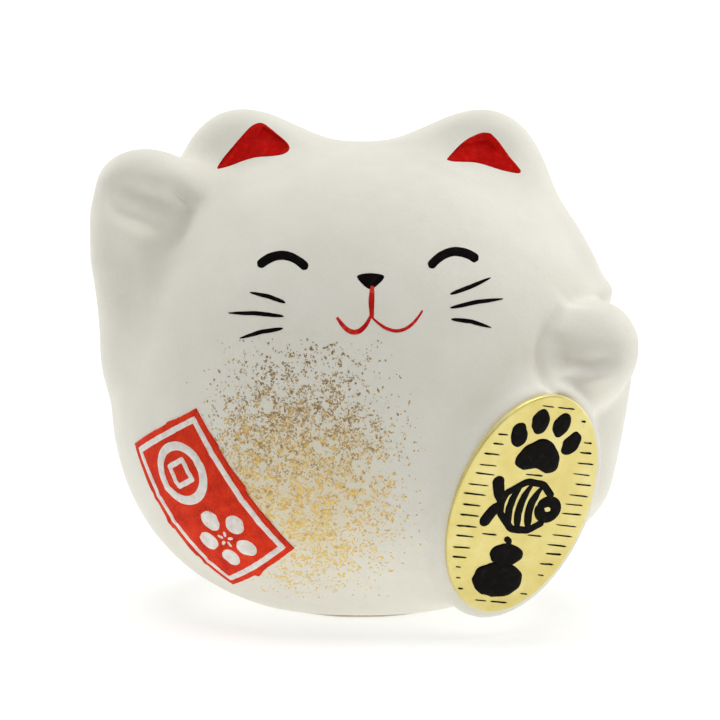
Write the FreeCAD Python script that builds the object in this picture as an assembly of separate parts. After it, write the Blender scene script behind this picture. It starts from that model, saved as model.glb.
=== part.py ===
"""Beckoning cat figurine: a hollow slip-cast ceramic body covered with washi paper.

Millimetres. +Z is up, the cat faces -Y, and the origin is the middle of its base on the floor.
The body is one smooth blend of simple rounded forms. Every layer that lies on the body, such as
paper, paint or gold leaf, is a thin solid between two heights above or below the paper's surface.
"""
import FreeCAD, Part
import math
import os
import random

# ---- Driving dimensions (mm) ----
BODY_HALF = (34.4, 31.8, 32.4)      # half width, half depth and half height of the round body
BODY_CENTRE_HEIGHT = 31.2
PLAN_POWER = 2.1                    # 2 is an ellipse seen from above, more is squarer
SIDE_POWER = 2.38                   # the same, seen from the front
RAY_CENTRE = (0.0, 0.0, 32.0)       # every surface is seen whole from this point
BLEND_BASE = 1.0

EAR_CENTRE = (14.9, -2.5, 56.8)     # of the +X ear, the other is its mirror image
EAR_HALF = (9.4, 6.2, 11.6)
EAR_TILT = 20.0
BLEND_EAR = 7.0

RAISED_ARM = ((-27.6, -6.5, 36.0), (-29.2, -9.0, 54.0), 7.0, 7.2)   # ends, and radius at each
RAISED_PAW_CENTRE = (-28.0, -11.9, 58.6)
RAISED_PAW_HALF = (6.8, 5.0, 4.8)
RAISED_PAW_TILT = 8.0
BLEND_PAW_FOLD = 3.2
BLEND_RAISED_ARM = 5.0

LOWERED_ARM = ((27.6, -7.0, 19.0), (30.0, -10.0, 33.0), 5.4, 5.8)
LOWERED_PAW_CENTRE = (29.4, -16.4, 36.4)
LOWERED_PAW_HALF = (6.7, 7.2, 7.8)
LOWERED_PAW_TILT = 38.0
BLEND_LOWERED_ARM = 6.0
BLEND_LOWERED_PAW = 1.5

TAIL_CENTRE = (-4.0, 25.6, 13.5)
TAIL_HALF = (7.5, 6.8, 6.2)
BLEND_TAIL = 4.0

PAD_CENTRE = (21.1, -25.6, 17.6)    # raised oval pad that the gold plate is glued to
PAD_NORMAL = (0.42, -0.87, -0.25)
PAD_LONG_WAY = (10.1, -3.46, 29.0)
PAD_HALF = (16.5, 11.2)
PAD_DEPTH = 8.0
PAD_TOP = -0.5                      # height of the pad's flat top over PAD_CENTRE
BLEND_PAD_EDGE = 1.6
BLEND_PAD = 3.0

PAPER = 0.20                        # washi, with its glue
GAP = 0.03                          # between layers
WALL = 3.2                          # ceramic
VENT_RADIUS = 6.0
BASE_DISC_RADIUS = 11.6
BASE_DISC = 0.3
FOOT_HEIGHT = BASE_DISC + GAP       # of the papered body's flat foot, over the floor
PAINT = 0.08
LABEL_PAPER = 0.15
LEAF = 0.05

LABEL_AZIMUTH = 42.6                # towards -X from the front
LABEL_ELEVATION = -25.0
LABEL_ROLL = 27.0
LABEL_SIZE = (16.0, 24.2)
LABEL_REACH = 34.0                  # from RAY_CENTRE to the plane that the label is laid out on
LABEL_FRAME_INSET = 1.0
LABEL_FRAME_WIDTH = 0.8
COIN_PLACE = (0.0, 5.1)             # across and along the label, from its middle
COIN_RADIUS = 4.5
COIN_HOLE = 1.5                     # half of the square hole
BLOSSOM_PLACE = (0.0, -5.3)
PETAL = (0.9, 4.9, 1.6)             # start and end from the blossom's middle, and half width
PETAL_COUNT = 5

PLATE_HALF = (15.4, 10.2)
PLATE_SHIFT = (0.6, 0.6)            # from the pad's middle, along and across the pad
PLATE_TURN = 1.5                    # degrees, of the plate on its pad
PLATE_THICKNESS = 0.8
PLATE_CHAMFER = 0.2
LACQUER = 0.12                      # black, on the plate
DASH_PITCH = 1.55
DASH_LENGTH = 2.3
DASH_WIDTH = 0.38
DASH_MARGIN = 0.9                   # from a dash's outer end to the plate's edge
DASH_SHORTEST = 0.6
DASH_TILT = -2.5                    # of the dashes, from square to the plate's long way
MOTIF_REACH = (-12.5, 11.8)         # how far the motifs take up the plate's middle, along it
MOTIF_CLEARANCE = 5.5               # from the plate's long line to a dash beside the motifs
END_CLEARANCE = 3.2                 # and to a dash beyond them

PRINT_PLACE = (8.9, 0.2)            # paw print: along and across the plate, from its middle
PRINT_PAD = (-1.7, 2.2, 3.0)        # shift along, and half sizes along and across
PRINT_TOES = ((1.2, 3.9, 1.25), (3.3, 1.6, 1.35))    # shift along and across, and half width
TOE_STRETCH = 1.25
FISH_PLACE = (0.0, 0.0)
FISH_BODY = (-1.0, 3.1, 4.6)        # shift across, and half sizes along and across
FISH_TAIL = (3.0, 5.0, 6.0)         # half its spread, and where its notch and tips are
FISH_EYE = (0.9, -3.6, 0.5)
GOURD_PLACE = (-9.2, 0.0)
GOURD_LOWER = (-1.9, 2.6, 3.6)      # shift along, and half sizes along and across
GOURD_UPPER = (2.2, 2.2, 2.3)
GOURD_STALK = (4.5, 0.8, 0.35)

FLECK_FIELD = (-4.5, 25.0)          # middle of the gold leaf, across and up
FLECK_SPREAD = (5.5, 7.5)
FLECK_SIZE = (0.25, 0.5)
FLECK_SPACING = 1.2
FLECK_LIMITS = (7.0, 7.0, 39.0)     # furthest towards the plate, lowest and highest
LABEL_CLEARANCE = 0.8

EYE_RIGHT = (-10.2, 49.3, -1.0)     # middle of the arc's ends, and its tilt in degrees
EYE_LEFT = (11.8, 49.7, 6.0)
EYE_HALF_LENGTH = 3.2
EYE_RISE = 1.5
EYE_HALF_WIDTH = 0.52
NOSE_CENTRE = (1.05, 47.9)
NOSE_TOP_HALF = 1.75
NOSE_POINT_HALF = 0.35
NOSE_HEIGHT = 1.9
LIP_TOP = (1.25, 46.7)
LIP_LENGTH = 3.2
SMILE_HALF_WIDTH = 0.2
SMILE_DROP = 2.0
WHISKER_HALF_WIDTH = 0.19

OUTER_POLES = 46                    # of a body surface patch, each way
INNER_POLES = 18
FLECK_COUNT = 60
FLECK_SEED = 8


# ---- Vectors ----
def add(a, b, k=1.0):
    return (a[0] + k * b[0], a[1] + k * b[1], a[2] + k * b[2])


def dot(a, b):
    return a[0] * b[0] + a[1] * b[1] + a[2] * b[2]


def cross(a, b):
    return (a[1] * b[2] - a[2] * b[1], a[2] * b[0] - a[0] * b[2], a[0] * b[1] - a[1] * b[0])


def unit(a):
    length = math.sqrt(dot(a, a))
    return (a[0] / length, a[1] / length, a[2] / length)


# ---- Rounded forms: signed distances, positive outside ----
def smooth_min(a, b, k):
    h = max(k - abs(a - b), 0.0) / k
    return min(a, b) - h * h * k / 4


def smooth_max(a, b, k):
    return -smooth_min(-a, -b, k)


def tilted(p, centre, degrees):
    """p measured from centre, in axes turned by degrees about Y."""
    x, y, z = add(p, centre, -1)
    c = math.cos(math.radians(degrees))
    s = math.sin(math.radians(degrees))
    return (c * x - s * z, y, s * x + c * z)


def ellipsoid(p, half):
    k0 = math.sqrt(sum((c / h) ** 2 for c, h in zip(p, half)))
    k1 = math.sqrt(sum((c / (h * h)) ** 2 for c, h in zip(p, half))) + 1e-9
    return k0 * (k0 - 1) / k1


def capsule(p, start, end, start_radius, end_radius):
    way = add(end, start, -1)
    t = min(max(dot(add(p, start, -1), way) / dot(way, way), 0.0), 1.0)
    gap = add(add(p, start, -1), way, -t)
    return math.sqrt(dot(gap, gap)) - (start_radius + (end_radius - start_radius) * t)


def round_body(p):
    """A ball that is a little square, seen from above and from the front."""
    a, b, c = BODY_HALF
    ax = abs(p[0]) / a
    ay = abs(p[1]) / b
    az = abs(p[2] - BODY_CENTRE_HEIGHT) / c
    plan = ax ** PLAN_POWER + ay ** PLAN_POWER + 1e-12
    side = plan ** (SIDE_POWER / PLAN_POWER) + az ** SIDE_POWER + 1e-12
    k = side ** (1 / SIDE_POWER - 1)
    flat = k * plan ** (SIDE_POWER / PLAN_POWER - 1)
    gx = flat * ax ** (PLAN_POWER - 1) / a
    gy = flat * ay ** (PLAN_POWER - 1) / b
    gz = k * az ** (SIDE_POWER - 1) / c
    return (side ** (1 / SIDE_POWER) - 1) / (math.sqrt(gx * gx + gy * gy + gz * gz) + 1e-9)


PAD_N = unit(PAD_NORMAL)
PAD_U = unit(add(PAD_LONG_WAY, PAD_N, -dot(PAD_LONG_WAY, PAD_N)))
PAD_V = cross(PAD_N, PAD_U)


def plate_pad(p):
    q = add(p, PAD_CENTRE, -1)
    u = dot(q, PAD_U)
    v = dot(q, PAD_V)
    w = dot(q, PAD_N)
    rim = (math.sqrt((u / PAD_HALF[0]) ** 2 + (v / PAD_HALF[1]) ** 2) - 1) * PAD_HALF[1]
    cap = abs(w - PAD_TOP + PAD_DEPTH / 2) - PAD_DEPTH / 2
    return smooth_max(rim, cap, BLEND_PAD_EDGE)


def body_distance(p):
    """Height of p over the figurine's papered surface."""
    d = round_body(p)
    for side in (-1, 1):
        centre = (side * EAR_CENTRE[0], EAR_CENTRE[1], EAR_CENTRE[2])
        d = smooth_min(d, ellipsoid(tilted(p, centre, side * EAR_TILT), EAR_HALF), BLEND_EAR)
    paw = ellipsoid(tilted(p, RAISED_PAW_CENTRE, RAISED_PAW_TILT), RAISED_PAW_HALF)
    arm = smooth_min(capsule(p, *RAISED_ARM), paw, BLEND_PAW_FOLD)
    d = smooth_min(d, arm, BLEND_RAISED_ARM)
    d = smooth_min(d, capsule(p, *LOWERED_ARM), BLEND_LOWERED_ARM)
    paw = ellipsoid(tilted(p, LOWERED_PAW_CENTRE, LOWERED_PAW_TILT), LOWERED_PAW_HALF)
    d = smooth_min(d, paw, BLEND_LOWERED_PAW)
    d = smooth_min(d, ellipsoid(add(p, TAIL_CENTRE, -1), TAIL_HALF), BLEND_TAIL)
    d = smooth_min(d, plate_pad(p), BLEND_PAD)
    return smooth_max(d, FOOT_HEIGHT - p[2], BLEND_BASE)


def meet(start, way, level):
    """Where the ray from start along way comes down to that height over the surface."""
    t = 0.0
    step = 1.0
    while abs(step) > 1e-5:
        step = 0.7 * (body_distance(add(start, way, t)) - level)
        t += step
    return add(start, way, t)


def on_body(direction, level):
    """The point at that height over the surface, seen from RAY_CENTRE in that direction."""
    d = unit(direction)
    return meet(add(RAY_CENTRE, d, 62.0), (-d[0], -d[1], -d[2]), level)


def on_front(x, z, level):
    """The point at that height over the surface, straight behind (x, z) as seen from the front."""
    return meet((x, -60.0, z), (0.0, 1.0, 0.0), level)


# ---- Smooth surfaces through a grid of points ----
def knots_for(count, degree):
    inside = count - degree
    return [0.0] * degree + [i / inside for i in range(inside + 1)] + [1.0] * degree


def basis(i, degree, knots, t):
    if degree == 0:
        last = knots[i + 1] == 1.0 and t == 1.0 and knots[i] < 1.0
        return 1.0 if knots[i] <= t < knots[i + 1] or last else 0.0
    total = 0.0
    if knots[i + degree] > knots[i]:
        share = (t - knots[i]) / (knots[i + degree] - knots[i])
        total += share * basis(i, degree - 1, knots, t)
    if knots[i + degree + 1] > knots[i + 1]:
        share = (knots[i + degree + 1] - t) / (knots[i + degree + 1] - knots[i + 1])
        total += share * basis(i + 1, degree - 1, knots, t)
    return total


def sample_places(count):
    """The parameters, 0 to 1, at which a smooth surface is given its points."""
    degree = min(3, count - 1)
    knots = knots_for(count, degree)
    return [sum(knots[i + 1:i + degree + 1]) / degree for i in range(count)]


def inverse(matrix):
    n = len(matrix)
    rows = [row[:] + [1.0 if i == j else 0.0 for j in range(n)] for i, row in enumerate(matrix)]
    for i in range(n):
        pivot = max(range(i, n), key=lambda r: abs(rows[r][i]))
        rows[i], rows[pivot] = rows[pivot], rows[i]
        scale = rows[i][i]
        rows[i] = [value / scale for value in rows[i]]
        for r in range(n):
            if r != i and rows[r][i] != 0.0:
                k = rows[r][i]
                rows[r] = [a - k * b for a, b in zip(rows[r], rows[i])]
    return [row[n:] for row in rows]


SOLVERS = {}


def solver(count):
    if count not in SOLVERS:
        degree = min(3, count - 1)
        knots = knots_for(count, degree)
        rows = [[basis(j, degree, knots, t) for j in range(count)] for t in sample_places(count)]
        SOLVERS[count] = inverse(rows)
    return SOLVERS[count]


def solve_rows(grid):
    """Poles of the curve through each row of points."""
    solve = solver(len(grid[0]))
    result = []
    for row in grid:
        axes = list(zip(*row))
        poles = [[sum(k * v for k, v in zip(line, axis)) for line in solve] for axis in axes]
        result.append(list(zip(*poles)))
    return result


def transposed(grid):
    return [list(row) for row in zip(*grid)]


def smooth_face(grid):
    poles = transposed(solve_rows(transposed(solve_rows(grid))))
    surface = Part.BSplineSurface()
    degrees = []
    spacing = []
    for count in (len(grid), len(grid[0])):
        degree = min(3, count - 1)
        inner = count - degree
        degrees.append(degree)
        spacing.append(([degree + 1] + [1] * (inner - 1) + [degree + 1],
                        [i / inner for i in range(inner + 1)]))
    surface.buildFromPolesMultsKnots(
        [[FreeCAD.Vector(*p) for p in row] for row in poles],
        spacing[0][0], spacing[1][0], spacing[0][1], spacing[1][1],
        False, False, degrees[0], degrees[1])
    return surface.toShape()


def strip(lower, upper):
    """The narrow face between two matching rows of points."""
    return smooth_face([lower, upper])


def solid_from(faces):
    shell = Part.makeShell(faces)
    shell.sewShape()
    solid = Part.Solid(Part.Shell(shell.Faces))
    if solid.Volume < 0:
        solid.reverse()
    return solid


def layer(place, across, along, low, high):
    """A thin solid: place(s, t, level) over the square, between two heights."""
    sides = [[place(s, t, low) for t in sample_places(along)] for s in sample_places(across)]
    tops = [[place(s, t, high) for t in sample_places(along)] for s in sample_places(across)]
    faces = [smooth_face(sides), smooth_face(tops)]
    for row in (0, -1):
        faces.append(strip(sides[row], tops[row]))
    sides = transposed(sides)
    tops = transposed(tops)
    for row in (0, -1):
        faces.append(strip(sides[row], tops[row]))
    return solid_from(faces)


# ---- Body and its paper ----
def patch_directions(normal, right, up, start, end, across, along):
    """Directions over one side of a cube, from start to end of the way across it."""
    grid = []
    for s in sample_places(across):
        a = math.tan((start + (end - start) * s) * math.pi / 4)
        row = []
        for t in sample_places(along):
            b = math.tan((2 * t - 1) * math.pi / 4)
            row.append(add(add(normal, right, a), up, b))
        grid.append(row)
    return grid


def half_patches(front, count):
    """The five patches of directions over the front or back half of the body."""
    facing = (0.0, -1.0 if front else 1.0, 0.0)
    beside = [(1.0, 0.0, 0.0), (-1.0, 0.0, 0.0), (0.0, 0.0, 1.0), (0.0, 0.0, -1.0)]
    patches = [patch_directions(facing, beside[0], beside[2], -1, 1, count, count)]
    for normal in beside:
        along = beside[2] if normal[2] == 0 else beside[0]
        patches.append(patch_directions(normal, facing, along, 0, 1, count // 2 + 2, count))
    return patches


def points_at(patch, level):
    return [[on_body(direction, level) for direction in row] for row in patch]


def closed_surface(count, level):
    faces = []
    for front in (True, False):
        faces += [smooth_face(points_at(patch, level)) for patch in half_patches(front, count)]
    return solid_from(faces)


def vent_cutter():
    return Part.makeCylinder(VENT_RADIUS, 3 * WALL, FreeCAD.Vector(0, 0, -WALL))


def ceramic_body():
    outside = closed_surface(OUTER_POLES, -PAPER - GAP)
    inside = closed_surface(INNER_POLES, -PAPER - WALL)
    return outside.cut(inside).cut(vent_cutter())


def washi_sheet(front):
    """Half of the paper cover, with its cut edge on the plane y = 0."""
    faces = []
    for patch in half_patches(front, OUTER_POLES):
        low = points_at(patch, -PAPER)
        high = points_at(patch, 0.0)
        faces += [smooth_face(low), smooth_face(high)]
        if len(low) < len(low[0]):
            faces.append(strip(low[0], high[0]))
    return solid_from(faces).cut(vent_cutter())


def base_paper_disc():
    return Part.makeCylinder(BASE_DISC_RADIUS, BASE_DISC)


# ---- Paint on the face and ears ----
def mix(a, b, k):
    return tuple(p + (q - p) * k for p, q in zip(a, b))


def painted_patch(corners, bulge, level=GAP, across=9, along=9):
    """A four-cornered patch of paint, given its corners (x, z) in order round it."""
    def place(s, t, height):
        low = mix(corners[0], corners[1], s)
        high = mix(corners[3], corners[2], s)
        x, z = mix(low, high, t)
        x += bulge[0] * 4 * t * (1 - t) * (2 * s - 1)
        z += bulge[1] * 4 * s * (1 - s) * (2 * t - 1)
        return on_front(x, z, height)
    return layer(place, across, along, level, level + PAINT)


def painted_stroke(path, half_width, taper, along=12):
    """A brush stroke. path(t) is (x, z) for t from 0 to 1, and taper(t) scales its width."""
    def place(s, t, height):
        x, z = path(t)
        step = 0.01
        x0, z0 = path(t - step)
        x1, z1 = path(t + step)
        length = math.hypot(x1 - x0, z1 - z0)
        reach = half_width * taper(t) * (2 * s - 1)
        return on_front(x - (z1 - z0) / length * reach, z + (x1 - x0) / length * reach, height)
    return layer(place, 3, along, GAP, GAP + PAINT)


def round_ended(t):
    return 0.25 + 0.75 * math.sqrt(max(1 - (2 * t - 1) ** 4, 0.0))


def thin_ended(t):
    return 0.15 + 0.85 * math.sin(math.pi * min(max(t, 0.0), 1.0)) ** 0.7


def arch(centre, half_length, rise, tilt):
    """A path over an arch, with its ends tilted by that many degrees."""
    c = math.cos(math.radians(tilt))
    s = math.sin(math.radians(tilt))

    def path(t):
        along = half_length * (2 * t - 1)
        up = rise * (1 - (2 * t - 1) ** 2)
        return (centre[0] + c * along - s * up, centre[1] + s * along + c * up)
    return path


def straight(start, end):
    return lambda t: mix(start, end, t)


def right_ear_red():
    return painted_patch([(-19.2, 61.3), (-9.8, 63.1), (-12.9, 66.7), (-14.1, 66.6)], (0.3, 0.1))


def left_ear_red():
    return painted_patch([(11.4, 62.2), (21.0, 59.9), (16.9, 65.3), (15.6, 65.3)], (0.3, 0.1))


def eye(place):
    path = arch(place[:2], EYE_HALF_LENGTH, EYE_RISE, place[2])
    return painted_stroke(path, EYE_HALF_WIDTH, round_ended)


def nose():
    x, z = NOSE_CENTRE
    low = z - NOSE_HEIGHT / 2
    high = z + NOSE_HEIGHT / 2
    corners = [(x - NOSE_POINT_HALF, low), (x + NOSE_POINT_HALF, low),
               (x + NOSE_TOP_HALF, high), (x - NOSE_TOP_HALF, high)]
    return painted_patch(corners, (0.25, 0.15))


def mouth():
    """The lip's upright line, and a smile curve each side of it."""
    x, z = LIP_TOP
    low = z - LIP_LENGTH
    lines = [painted_stroke(straight((x, z), (x, low)), SMILE_HALF_WIDTH * 1.3, round_ended)]
    for side, width, lift in ((-1, 4.2, 0.3), (1, 6.2, 0.8)):
        middle = (x + side * (width / 2 + 0.3), low + lift / 2 - 0.1)
        tilt = side * math.degrees(math.atan2(lift, width))
        path = arch(middle, width / 2, -SMILE_DROP, tilt)
        lines.append(painted_stroke(path, SMILE_HALF_WIDTH, round_ended))
    return Part.makeCompound(lines)


def whiskers(ends):
    lines = [painted_stroke(straight(*pair), WHISKER_HALF_WIDTH, thin_ended) for pair in ends]
    return Part.makeCompound(lines)


def right_whiskers():
    return whiskers([((-9.8, 45.0), (-14.4, 46.1)), ((-10.0, 43.3), (-17.2, 43.4)),
                     ((-10.1, 41.8), (-15.7, 40.3))])


def left_whiskers():
    return whiskers([((11.3, 46.0), (16.6, 47.8)), ((11.3, 44.3), (18.2, 45.1)),
                     ((11.4, 42.9), (16.6, 41.6))])


# ---- Paper label ----
def label_axes():
    """The label's outward, across and along directions."""
    azimuth = math.radians(LABEL_AZIMUTH)
    elevation = math.radians(LABEL_ELEVATION)
    roll = math.radians(LABEL_ROLL)
    out = (-math.sin(azimuth) * math.cos(elevation), -math.cos(azimuth) * math.cos(elevation),
           math.sin(elevation))
    level = unit(cross((0.0, 0.0, 1.0), out))
    up = cross(out, level)
    across = add(tuple(math.cos(roll) * c for c in level), up, math.sin(roll))
    return out, across, cross(out, across)


LABEL_OUT, LABEL_ACROSS, LABEL_ALONG = label_axes()


def on_label(a, b, height):
    """The point a across and b along the label, at that height over the body's paper."""
    flat = add(tuple(LABEL_REACH * c for c in LABEL_OUT), LABEL_ACROSS, a)
    return on_body(add(flat, LABEL_ALONG, b), height)


def label_rectangle(low_a, high_a, low_b, high_b, low, high, across, along):
    def place(s, t, height):
        return on_label(low_a + (high_a - low_a) * s, low_b + (high_b - low_b) * t, height)
    return layer(place, across, along, low, high)


PRINT_LOW = GAP + LABEL_PAPER + GAP
PRINT_HIGH = PRINT_LOW + LEAF


def label_paper():
    a = LABEL_SIZE[0] / 2
    b = LABEL_SIZE[1] / 2
    return label_rectangle(-a, a, -b, b, GAP, GAP + LABEL_PAPER, 16, 22)


def label_frame():
    a = LABEL_SIZE[0] / 2 - LABEL_FRAME_INSET
    b = LABEL_SIZE[1] / 2 - LABEL_FRAME_INSET
    w = LABEL_FRAME_WIDTH
    bars = [(-a, a, b - w, b, 16, 3), (-a, a, -b, w - b, 16, 3),
            (-a, w - a, w - b, b - w, 3, 22), (a - w, a, w - b, b - w, 3, 22)]
    return Part.makeCompound([
        label_rectangle(low_a, high_a, low_b, high_b, PRINT_LOW, PRINT_HIGH, across, along)
        for low_a, high_a, low_b, high_b, across, along in bars])


def coin_quarter(turn):
    """A quarter of an old coin, between its square hole and its rim."""
    def place(s, t, height):
        angle = math.radians(45 * (2 * s - 1))
        hole = (COIN_HOLE, COIN_HOLE * (2 * s - 1))
        rim = (COIN_RADIUS * math.cos(angle), COIN_RADIUS * math.sin(angle))
        x, y = mix(hole, rim, t)
        c = math.cos(turn)
        k = math.sin(turn)
        return on_label(COIN_PLACE[0] + c * x - k * y, COIN_PLACE[1] + k * x + c * y, height)
    return layer(place, 8, 4, PRINT_LOW, PRINT_HIGH)


def petal(turn):
    start, end, half_width = PETAL

    def place(s, t, height):
        x = start + (end - start) * t
        y = half_width * (0.12 + 0.88 * math.sin(math.pi * t ** 1.3)) * (2 * s - 1)
        c = math.cos(turn)
        k = math.sin(turn)
        return on_label(BLOSSOM_PLACE[0] + c * x - k * y, BLOSSOM_PLACE[1] + k * x + c * y,
                        height)
    return layer(place, 5, 8, PRINT_LOW, PRINT_HIGH)


def label_motifs():
    """An old coin with a square hole, over a plum blossom."""
    quarters = [coin_quarter(math.radians(90 * i)) for i in range(4)]
    petals = [petal(math.radians(90 + 360 / PETAL_COUNT * i)) for i in range(PETAL_COUNT)]
    return Part.makeCompound(quarters + petals)


# ---- Gold plate ----
PLATE_ALONG = unit(add(PAD_U, PAD_V, math.tan(math.radians(PLATE_TURN))))
PLATE_ACROSS = cross(PAD_N, PLATE_ALONG)


def on_plate(shape, height):
    """Moves a flat shape, drawn with X along and Y across the plate, onto the plate."""
    centre = add(add(PAD_CENTRE, PAD_U, PLATE_SHIFT[0]), PAD_V, PLATE_SHIFT[1])
    centre = add(centre, PAD_N, PAD_TOP + GAP + height)
    rows = [(*axes, middle) for axes, middle in
            zip(zip(PLATE_ALONG, PLATE_ACROSS, PAD_N), centre)]
    matrix = FreeCAD.Matrix(*rows[0], *rows[1], *rows[2], 0, 0, 0, 1)
    moved = shape.copy()
    moved.Placement = FreeCAD.Placement(matrix)
    return moved


def oval(centre, half_along, half_across):
    """A flat oval face."""
    middle = FreeCAD.Vector(centre[0], centre[1], 0)
    if half_along >= half_across:
        ellipse = Part.Ellipse(middle, half_along, half_across)
    else:
        ellipse = Part.Ellipse(middle + FreeCAD.Vector(0, half_across, 0),
                               middle + FreeCAD.Vector(half_along, 0, 0), middle)
    return Part.Face(Part.Wire([ellipse.toShape()]))


def raised(face, height):
    return face.extrude(FreeCAD.Vector(0, 0, height))


def koban_plate():
    plate = raised(oval((0, 0), *PLATE_HALF), PLATE_THICKNESS)
    rims = [edge for edge in plate.Edges if edge.Closed]
    return on_plate(plate.makeChamfer(PLATE_CHAMFER, rims), 0.0)


def paw_print():
    u, v = PRINT_PLACE
    shift, half_along, half_across = PRINT_PAD
    pads = [oval((u + shift, v), half_along, half_across)]
    for along, across, half_width in PRINT_TOES:
        for side in (-1, 1):
            pads.append(oval((u + along, v + side * across), half_width * TOE_STRETCH, half_width))
    return [raised(pad, LACQUER) for pad in pads]


def fish():
    """A plump fish lying across the plate, with a forked tail."""
    u, v = FISH_PLACE
    shift, half_along, half_across = FISH_BODY
    spread, notch, tip = FISH_TAIL
    body = oval((u, v + shift), half_along, half_across)
    root = (u, v + shift + half_across - 1.0)
    tail = [root, (u + spread, v + tip), (u, v + notch), (u - spread, v + tip), root]
    tail = Part.Face(Part.makePolygon([FreeCAD.Vector(a, b, 0) for a, b in tail]))
    along, across, radius = FISH_EYE
    eye = oval((u + along, v + across), radius, radius)
    whole = raised(body, LACQUER).fuse(raised(tail, LACQUER)).removeSplitter()
    return [whole.cut(raised(eye, LACQUER))]


def gourd():
    u, v = GOURD_PLACE
    lower, upper, stalk = [raised(oval((u + shift, v), half_along, half_across), LACQUER)
                           for shift, half_along, half_across in
                           (GOURD_LOWER, GOURD_UPPER, GOURD_STALK)]
    return [lower.fuse([upper, stalk]).removeSplitter()]


def koban_motifs():
    """A paw print, a fish and a gourd in black lacquer."""
    solids = [solid for shape in paw_print() + fish() + gourd() for solid in shape.Solids]
    return on_plate(Part.makeCompound(solids), PLATE_THICKNESS + GAP)


def koban_dashes():
    """Short strokes in rows down both edges of the plate, clear of the motifs."""
    slope = math.tan(math.radians(DASH_TILT))
    rows = int((2 * PLATE_HALF[0] - 2 * DASH_MARGIN) / DASH_PITCH)
    dashes = []
    for i in range(rows):
        middle = (i - (rows - 1) / 2) * DASH_PITCH
        edge = PLATE_HALF[1] * math.sqrt(1 - (middle / PLATE_HALF[0]) ** 2)
        beside_motifs = MOTIF_REACH[0] < middle < MOTIF_REACH[1]
        clearance = MOTIF_CLEARANCE if beside_motifs else END_CLEARANCE
        outer = edge - DASH_MARGIN
        inner = max(outer - DASH_LENGTH, clearance)
        if outer - inner > DASH_SHORTEST:
            for side in (-1, 1):
                ends = [(middle + slope * side * reach, side * reach) for reach in (inner, outer)]
                corners = [(ends[0][0] - DASH_WIDTH / 2, ends[0][1]),
                           (ends[0][0] + DASH_WIDTH / 2, ends[0][1]),
                           (ends[1][0] + DASH_WIDTH / 2, ends[1][1]),
                           (ends[1][0] - DASH_WIDTH / 2, ends[1][1])]
                points = [FreeCAD.Vector(a, b, 0) for a, b in corners + corners[:1]]
                dashes.append(raised(Part.Face(Part.makePolygon(points)), LACQUER))
    return on_plate(Part.makeCompound(dashes), PLATE_THICKNESS + GAP)


# ---- Gold leaf ----
def fleck(x, z, size, turn, corners):
    """A flat chip of leaf lying on the body's paper."""
    middle = on_front(x, z, GAP)
    beside = on_front(x + 1.0, z, GAP)
    above = on_front(x, z + 1.0, GAP)
    across = unit(add(beside, middle, -1))
    out = unit(cross(across, add(above, middle, -1)))
    up = cross(out, across)
    rim = []
    for i in range(corners):
        angle = turn + 2 * math.pi * i / corners
        reach = size * (1.0 if i % 2 else 0.6)
        point = add(add(middle, across, reach * math.cos(angle)), up, reach * math.sin(angle))
        rim.append(FreeCAD.Vector(*point))
    chip = Part.Face(Part.makePolygon(rim + rim[:1]))
    return chip.extrude(FreeCAD.Vector(*out) * LEAF)


def under_label(x, z):
    """Whether the label, or its close surroundings, lies over that place on the front."""
    way = add(on_front(x, z, 0.0), RAY_CENTRE, -1)
    scale = LABEL_REACH / dot(way, LABEL_OUT)
    beside = abs(dot(way, LABEL_ACROSS)) * scale < LABEL_SIZE[0] / 2 + LABEL_CLEARANCE
    return beside and abs(dot(way, LABEL_ALONG)) * scale < LABEL_SIZE[1] / 2 + LABEL_CLEARANCE


def gold_leaf_flecks():
    """Chips of leaf scattered over the belly, closest together at its middle."""
    draw = random.Random(FLECK_SEED)
    plate_side, lowest, highest = FLECK_LIMITS
    chips = []
    taken = []
    while len(chips) < FLECK_COUNT:
        x = draw.gauss(FLECK_FIELD[0], FLECK_SPREAD[0])
        z = draw.gauss(FLECK_FIELD[1], FLECK_SPREAD[1])
        size = draw.uniform(*FLECK_SIZE)
        turn = draw.uniform(0.0, math.pi)
        corners = draw.choice((4, 5, 6))
        outside = x > plate_side or not lowest < z < highest
        crowded = any(math.hypot(x - a, z - b) < FLECK_SPACING for a, b in taken)
        if not (outside or crowded or under_label(x, z)):
            chips.append(fleck(x, z, size, turn, corners))
            taken.append((x, z))
    return Part.makeCompound(chips)


# ---- Files ----
NODES = {
    "ceramic_body": ceramic_body,
    "washi_front_sheet": lambda: washi_sheet(True),
    "washi_back_sheet": lambda: washi_sheet(False),
    "base_paper_disc": base_paper_disc,
    "right_ear_red": right_ear_red,
    "left_ear_red": left_ear_red,
    "right_eye": lambda: eye(EYE_RIGHT),
    "left_eye": lambda: eye(EYE_LEFT),
    "nose": nose,
    "mouth": mouth,
    "right_whiskers": right_whiskers,
    "left_whiskers": left_whiskers,
    "label_paper": label_paper,
    "label_frame": label_frame,
    "label_motifs": label_motifs,
    "koban_plate": koban_plate,
    "koban_motifs": koban_motifs,
    "koban_dashes": koban_dashes,
    "gold_leaf_flecks": gold_leaf_flecks,
}

os.makedirs("parts", exist_ok=True)
for name, build in NODES.items():
    shape = build()
    shape.exportStep("parts/" + name + ".step")
    print(name, "solids", len(shape.Solids), "volume", round(shape.Volume, 3), shape.isValid())
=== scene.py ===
"""Looks of a beckoning cat figurine covered in washi paper, around its packed design.

Shapes are in millimetres until a mesh is made. The body's rounded forms are the design's own, so
the paper and all that lies on it sit where the design has them.
"""
import math

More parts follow.
